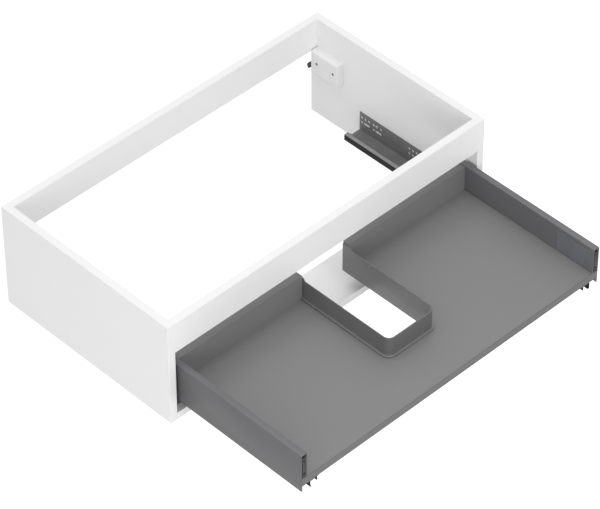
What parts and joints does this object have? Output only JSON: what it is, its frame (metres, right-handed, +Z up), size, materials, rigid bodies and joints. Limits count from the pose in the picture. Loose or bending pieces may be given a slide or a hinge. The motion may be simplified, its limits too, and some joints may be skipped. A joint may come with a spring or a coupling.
{
  "type": "under counter drawer unit",
  "caption": "Wall-hung under-counter carcass with a shallow steel-sided drawer that pulls out around a U-shaped trap cut-out.",
  "frame": {"origin": "middle of the rear rail's wall face, on the wall plane", "axes": "+X along the width, to the right seen from the front; +Y into the wall, so the drawer pulls out along -Y; +Z up"},
  "size_m": [0.8, 0.7565, 0.236],
  "materials": {
    "white_board": "satin white laminate on board",
    "beech": "plain beech",
    "white_plastic": "fine-grained white",
    "zinc_steel": "zinc plated",
    "black_steel": "blackened steel",
    "rail_steel": "dark grey coated steel",
    "carrier_plastic": "black",
    "roller_plastic": "natural",
    "grey_board": "grey laminate on board",
    "grey_lacquer": "grey powder coat",
    "bracket_metal": "grey die-cast",
    "cap_plastic": "dark grey, bare",
    "surround_plastic": "grey",
    "clip_plastic": "dark grey"
  },
  "bodies": {
    "carcass": {"left_side_panel": "white_board", "right_side_panel": "white_board", "rear_rail": "white_board", "front_rail": "white_board", "front_bottom_board": "white_board", "dowels": "beech", "left_hanger_casing": "white_plastic", "right_hanger_casing": "white_plastic", "left_hanger_backplate": "zinc_steel", "right_hanger_backplate": "zinc_steel", "hanger_screws": "zinc_steel", "left_cabinet_rail": "rail_steel", "right_cabinet_rail": "rail_steel", "cabinet_rail_screws": "zinc_steel"},
    "drawer": {"drawer_floor": "grey_board", "left_back_panel": "grey_board", "right_back_panel": "grey_board", "left_outer_skin": "grey_lacquer", "right_outer_skin": "grey_lacquer", "left_inner_skin": "grey_lacquer", "right_inner_skin": "grey_lacquer", "left_floor_ledge": "grey_lacquer", "right_floor_ledge": "grey_lacquer", "left_front_bracket": "bracket_metal", "right_front_bracket": "bracket_metal", "left_cover_cap": "cap_plastic", "right_cover_cap": "cap_plastic", "left_rear_bracket": "grey_lacquer", "right_rear_bracket": "grey_lacquer", "left_drawer_rail": "black_steel", "right_drawer_rail": "black_steel", "left_clip_body": "clip_plastic", "right_clip_body": "clip_plastic", "drawer_screws": "zinc_steel", "cutout_surround": "surround_plastic"},
    "left_lower_carrier": {"left_lower_carrier": "carrier_plastic", "left_lower_rollers": "roller_plastic"},
    "left_middle_rail": {"left_middle_rail": "rail_steel"},
    "left_upper_carrier": {"left_upper_carrier": "carrier_plastic", "left_upper_rollers": "roller_plastic"},
    "left_lift_plate": {"left_lift_plate": "zinc_steel"},
    "left_hook": {"left_hook": "black_steel"},
    "left_lift_screw": {"left_lift_screw": "black_steel"},
    "left_reach_screw": {"left_reach_screw": "black_steel"},
    "left_adjusting_cam": {"left_adjusting_cam": "zinc_steel"},
    "left_clip_lever": {"left_clip_lever": "clip_plastic"},
    "right_lower_carrier": {"right_lower_carrier": "carrier_plastic", "right_lower_rollers": "roller_plastic"},
    "right_middle_rail": {"right_middle_rail": "rail_steel"},
    "right_upper_carrier": {"right_upper_carrier": "carrier_plastic", "right_upper_rollers": "roller_plastic"},
    "right_lift_plate": {"right_lift_plate": "zinc_steel"},
    "right_hook": {"right_hook": "black_steel"},
    "right_lift_screw": {"right_lift_screw": "black_steel"},
    "right_reach_screw": {"right_reach_screw": "black_steel"},
    "right_adjusting_cam": {"right_adjusting_cam": "zinc_steel"},
    "right_clip_lever": {"right_clip_lever": "clip_plastic"}
  },
  "joints": [
    {"name": "drawer_slide", "type": "slide", "parent": "carcass", "child": "drawer", "axis": [0, 1, 0], "range_m": [0, 0.312]},
    {"name": "left_lower_carrier_slide", "type": "slide", "parent": "carcass", "child": "left_lower_carrier", "axis": [0, 1, 0], "range_m": [0, 0.0785]},
    {"name": "left_middle_rail_slide", "type": "slide", "parent": "carcass", "child": "left_middle_rail", "axis": [0, 1, 0], "range_m": [0, 0.1565]},
    {"name": "left_upper_carrier_slide", "type": "slide", "parent": "carcass", "child": "left_upper_carrier", "axis": [0, 1, 0], "range_m": [0, 0.2345]},
    {"name": "left_hook_lift", "type": "slide", "parent": "carcass", "child": "left_lift_plate", "axis": [0, 0, 1], "range_m": [-0.0035, 0.0035]},
    {"name": "left_hook_draw", "type": "slide", "parent": "left_lift_plate", "child": "left_hook", "axis": [0, -1, 0], "range_m": [-0.0105, 0.0015]},
    {"name": "left_lift_screw_turn", "type": "hinge", "parent": "carcass", "child": "left_lift_screw", "pos_m": [-0.376, -0.0765, -0.057], "axis": [1, 0, 0], "range_deg": [-635, 635]},
    {"name": "left_reach_screw_turn", "type": "hinge", "parent": "carcass", "child": "left_reach_screw", "pos_m": [-0.376, -0.0325, -0.057], "axis": [1, 0, 0], "range_deg": [-1895, 275]},
    {"name": "left_cam_turn", "type": "hinge", "parent": "drawer", "child": "left_adjusting_cam", "pos_m": [-0.373, -0.71, -0.10005], "axis": [1, 0, 0], "range_deg": [-90, 90]},
    {"name": "left_clip_release", "type": "hinge", "parent": "drawer", "child": "left_clip_lever", "pos_m": [-0.314, -0.695, -0.1503], "axis": [0, 0, 1], "range_deg": [0, 12], "stiffness_Nm_per_rad": 0.05, "springref_deg": -2.86},
    {"name": "right_lower_carrier_slide", "type": "slide", "parent": "carcass", "child": "right_lower_carrier", "axis": [0, 1, 0], "range_m": [0, 0.0785]},
    {"name": "right_middle_rail_slide", "type": "slide", "parent": "carcass", "child": "right_middle_rail", "axis": [0, 1, 0], "range_m": [0, 0.1565]},
    {"name": "right_upper_carrier_slide", "type": "slide", "parent": "carcass", "child": "right_upper_carrier", "axis": [0, 1, 0], "range_m": [0, 0.2345]},
    {"name": "right_hook_lift", "type": "slide", "parent": "carcass", "child": "right_lift_plate", "axis": [0, 0, 1], "range_m": [-0.0035, 0.0035]},
    {"name": "right_hook_draw", "type": "slide", "parent": "right_lift_plate", "child": "right_hook", "axis": [0, -1, 0], "range_m": [-0.0105, 0.0015]},
    {"name": "right_lift_screw_turn", "type": "hinge", "parent": "carcass", "child": "right_lift_screw", "pos_m": [0.376, -0.0765, -0.057], "axis": [1, 0, 0], "range_deg": [-635, 635]},
    {"name": "right_reach_screw_turn", "type": "hinge", "parent": "carcass", "child": "right_reach_screw", "pos_m": [0.376, -0.0325, -0.057], "axis": [1, 0, 0], "range_deg": [-1895, 275]},
    {"name": "right_cam_turn", "type": "hinge", "parent": "drawer", "child": "right_adjusting_cam", "pos_m": [0.373, -0.71, -0.10005], "axis": [1, 0, 0], "range_deg": [-90, 90]},
    {"name": "right_clip_release", "type": "hinge", "parent": "drawer", "child": "right_clip_lever", "pos_m": [0.314, -0.695, -0.1503], "axis": [0, 0, 1], "range_deg": [-12, 0], "stiffness_Nm_per_rad": 0.05, "springref_deg": 2.86}
  ],
  "couplings": [
    {"joint": "left_lower_carrier_slide", "follows": "drawer_slide", "ratio": 0.25},
    {"joint": "left_middle_rail_slide", "follows": "drawer_slide", "ratio": 0.5},
    {"joint": "left_upper_carrier_slide", "follows": "drawer_slide", "ratio": 0.75},
    {"joint": "left_lift_screw_turn", "follows": "left_hook_lift", "rad_per_m": 3141.6},
    {"joint": "left_reach_screw_turn", "follows": "left_hook_draw", "rad_per_m": 3141.6},
    {"joint": "right_lower_carrier_slide", "follows": "drawer_slide", "ratio": 0.25},
    {"joint": "right_middle_rail_slide", "follows": "drawer_slide", "ratio": 0.5},
    {"joint": "right_upper_carrier_slide", "follows": "drawer_slide", "ratio": 0.75},
    {"joint": "right_lift_screw_turn", "follows": "right_hook_lift", "rad_per_m": 3141.6},
    {"joint": "right_reach_screw_turn", "follows": "right_hook_draw", "rad_per_m": 3141.6}
  ]
}
